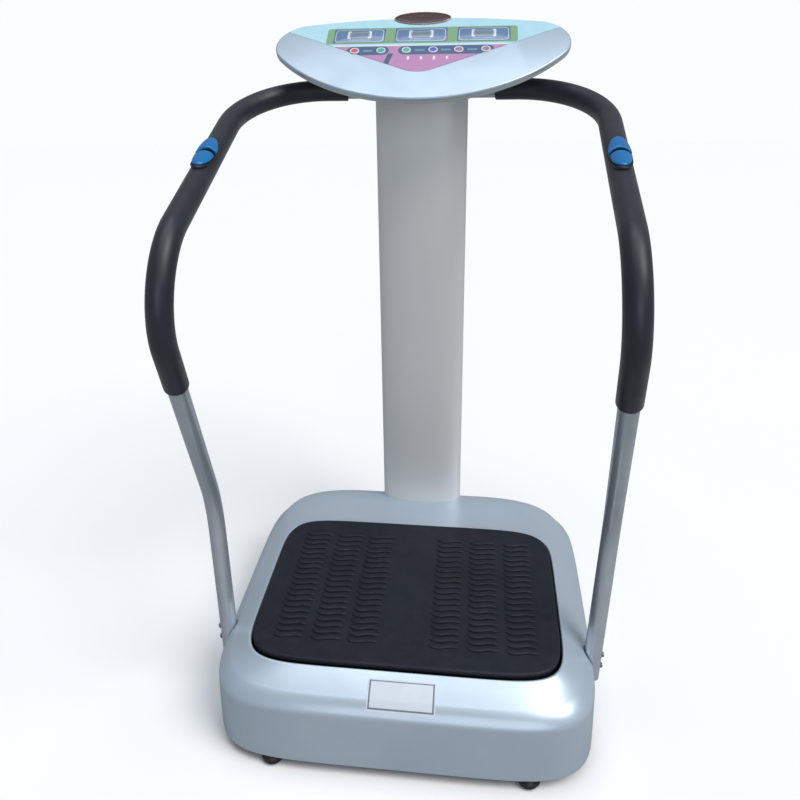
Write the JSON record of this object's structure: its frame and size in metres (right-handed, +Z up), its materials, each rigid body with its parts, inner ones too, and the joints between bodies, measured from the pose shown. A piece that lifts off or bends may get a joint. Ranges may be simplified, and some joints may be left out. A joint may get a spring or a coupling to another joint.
{
  "type": "vibration plate",
  "caption": "Rocking vibration plate for standing exercise: moulded base with ribbed mat, central column, tilted console and padded curved handrails with thumb buttons.",
  "frame": {"origin": "on the floor, under the middle of the bounding box", "axes": "+X to the user's right, +Y from the user towards the column, +Z up; the user stands on the mat facing +Y"},
  "size_m": [0.7652, 0.668, 1.2686],
  "materials": {
    "shell": "satin silver-blue moulded plastic",
    "steel_frame": "grey primer",
    "zinc": "zinc plated",
    "rubber_black": "matt",
    "plastic_black": "fine grain",
    "rocker_red": "gloss",
    "circuit": "solder mask",
    "cable_black": "satin sheath",
    "motor_grey": "satin",
    "pulley": "machined",
    "cast": "as cast",
    "deck_wood": "plywood",
    "mat_black": "moulded ribs",
    "column_silver": "satin silver",
    "console_silver": "pale silver",
    "console_grey": "grey rim",
    "panel_print": "printed pale blue, green and mauve",
    "lens": "slate blue window",
    "lcd": "grey display",
    "badge_maroon": "domed",
    "key_red": "gloss",
    "key_teal": "gloss",
    "key_indigo": "gloss",
    "key_mauve": "gloss",
    "rail_silver": "satin silver",
    "foam": "closed-cell foam",
    "thumb_blue": "gloss"
  },
  "bodies": {
    "base": {"base_cover": "shell", "base_pan": "steel_frame", "base_frame": "steel_frame", "rubber_feet": "rubber_black", "foot_studs": "zinc", "wheel_axles": "zinc", "power_inlet": "plastic_black", "switch_bezel": "plastic_black", "control_board": "circuit", "mains_lead": "cable_black", "motor_lead": "cable_black", "motor_case": "motor_grey", "motor_mount": "steel_frame", "drive_belt": "rubber_black", "pillow_blocks": "cast", "bump_stops": "rubber_black", "frame_bolts": "zinc", "rail_screws": "zinc", "column_post": "steel_frame", "column_front": "column_silver", "column_rear": "column_silver", "column_cable": "cable_black", "console_base": "console_grey", "console_bezel": "console_silver", "console_overlay": "panel_print", "display_lenses": "lens", "display_modules": "lcd", "console_board": "circuit", "console_badge": "badge_maroon", "console_screws": "zinc", "rail_left": "rail_silver", "rail_right": "rail_silver", "grip_left": "foam", "grip_right": "foam", "grip_leads": "cable_black", "pod_left": "plastic_black", "pod_right": "plastic_black"},
    "platform": {"platform_frame": "steel_frame", "deck_plate": "deck_wood", "deck_mat": "mat_black", "rod_pin": "zinc", "pivot_shaft": "zinc"},
    "crank": {"crank_shaft": "zinc", "crank_pulley": "pulley"},
    "rotor": {"motor_shaft": "zinc", "motor_pulley": "pulley"},
    "rod": {"connecting_rod": "cast"},
    "wheel_l": {"wheel_left": "plastic_black"},
    "wheel_r": {"wheel_right": "plastic_black"},
    "rocker": {"switch_rocker": "rocker_red"},
    "key_power_body": {"key_power": "key_red"},
    "key_start_body": {"key_start": "key_teal"},
    "key_mode_body": {"key_mode": "key_teal"},
    "key_speed_body": {"key_speed": "key_indigo"},
    "key_slower_body": {"key_slower": "key_mauve"},
    "key_faster_body": {"key_faster": "key_mauve"},
    "thumb_left_up_body": {"thumb_left_up": "thumb_blue"},
    "thumb_left_down_body": {"thumb_left_down": "thumb_blue"},
    "thumb_right_up_body": {"thumb_right_up": "thumb_blue"},
    "thumb_right_down_body": {"thumb_right_down": "thumb_blue"}
  },
  "joints": [
    {"name": "platform_rock", "type": "hinge", "parent": "base", "child": "platform", "pos_m": [0, 0, 0.1], "axis": [0, 1, 0], "range_deg": [-1.5, 1.5]},
    {"name": "crank_spin", "type": "hinge", "parent": "base", "child": "crank", "pos_m": [0.115, 0, 0.085], "axis": [0, 1, 0], "continuous": true},
    {"name": "motor_spin", "type": "hinge", "parent": "base", "child": "rotor", "pos_m": [-0.135, 0, 0.095], "axis": [0, 1, 0], "continuous": true},
    {"name": "rod_swing", "type": "hinge", "parent": "crank", "child": "rod", "pos_m": [0.118, 0, 0.085], "axis": [0, 1, 0], "continuous": true},
    {"name": "wheel_left_spin", "type": "hinge", "parent": "base", "child": "wheel_l", "pos_m": [-0.165, 0.285, 0.028], "axis": [1, 0, 0], "continuous": true},
    {"name": "wheel_right_spin", "type": "hinge", "parent": "base", "child": "wheel_r", "pos_m": [0.165, 0.285, 0.028], "axis": [1, 0, 0], "continuous": true},
    {"name": "switch_rock", "type": "hinge", "parent": "base", "child": "rocker", "pos_m": [-0.07, 0.3074, 0.075], "axis": [1, 0, 0], "range_deg": [0, 14]},
    {"name": "key_power_press", "type": "slide", "parent": "base", "child": "key_power_body", "axis": [0, 0.5299, -0.848], "range_m": [0, 0.0008], "stiffness_N_per_m": 400},
    {"name": "key_start_press", "type": "slide", "parent": "base", "child": "key_start_body", "axis": [0, 0.5299, -0.848], "range_m": [0, 0.0008], "stiffness_N_per_m": 400},
    {"name": "key_mode_press", "type": "slide", "parent": "base", "child": "key_mode_body", "axis": [0, 0.5299, -0.848], "range_m": [0, 0.0008], "stiffness_N_per_m": 400},
    {"name": "key_speed_press", "type": "slide", "parent": "base", "child": "key_speed_body", "axis": [0, 0.5299, -0.848], "range_m": [0, 0.0008], "stiffness_N_per_m": 400},
    {"name": "key_slower_press", "type": "slide", "parent": "base", "child": "key_slower_body", "axis": [0, 0.5299, -0.848], "range_m": [0, 0.0008], "stiffness_N_per_m": 400},
    {"name": "key_faster_press", "type": "slide", "parent": "base", "child": "key_faster_body", "axis": [0, 0.5299, -0.848], "range_m": [0, 0.0008], "stiffness_N_per_m": 400},
    {"name": "thumb_left_up_press", "type": "slide", "parent": "base", "child": "thumb_left_up_body", "axis": [-0.0446, 0.2942, -0.9547], "range_m": [0, 0.0012], "stiffness_N_per_m": 400},
    {"name": "thumb_left_down_press", "type": "slide", "parent": "base", "child": "thumb_left_down_body", "axis": [-0.0446, 0.2942, -0.9547], "range_m": [0, 0.0012], "stiffness_N_per_m": 400},
    {"name": "thumb_right_up_press", "type": "slide", "parent": "base", "child": "thumb_right_up_body", "axis": [0.0446, 0.2942, -0.9547], "range_m": [0, 0.0012], "stiffness_N_per_m": 400},
    {"name": "thumb_right_down_press", "type": "slide", "parent": "base", "child": "thumb_right_down_body", "axis": [0.0446, 0.2942, -0.9547], "range_m": [0, 0.0012], "stiffness_N_per_m": 400}
  ],
  "couplings": [
    {"joint": "motor_spin", "follows": "crank_spin", "ratio": 3},
    {"joint": "rod_swing", "follows": "crank_spin", "ratio": -1}
  ]
}
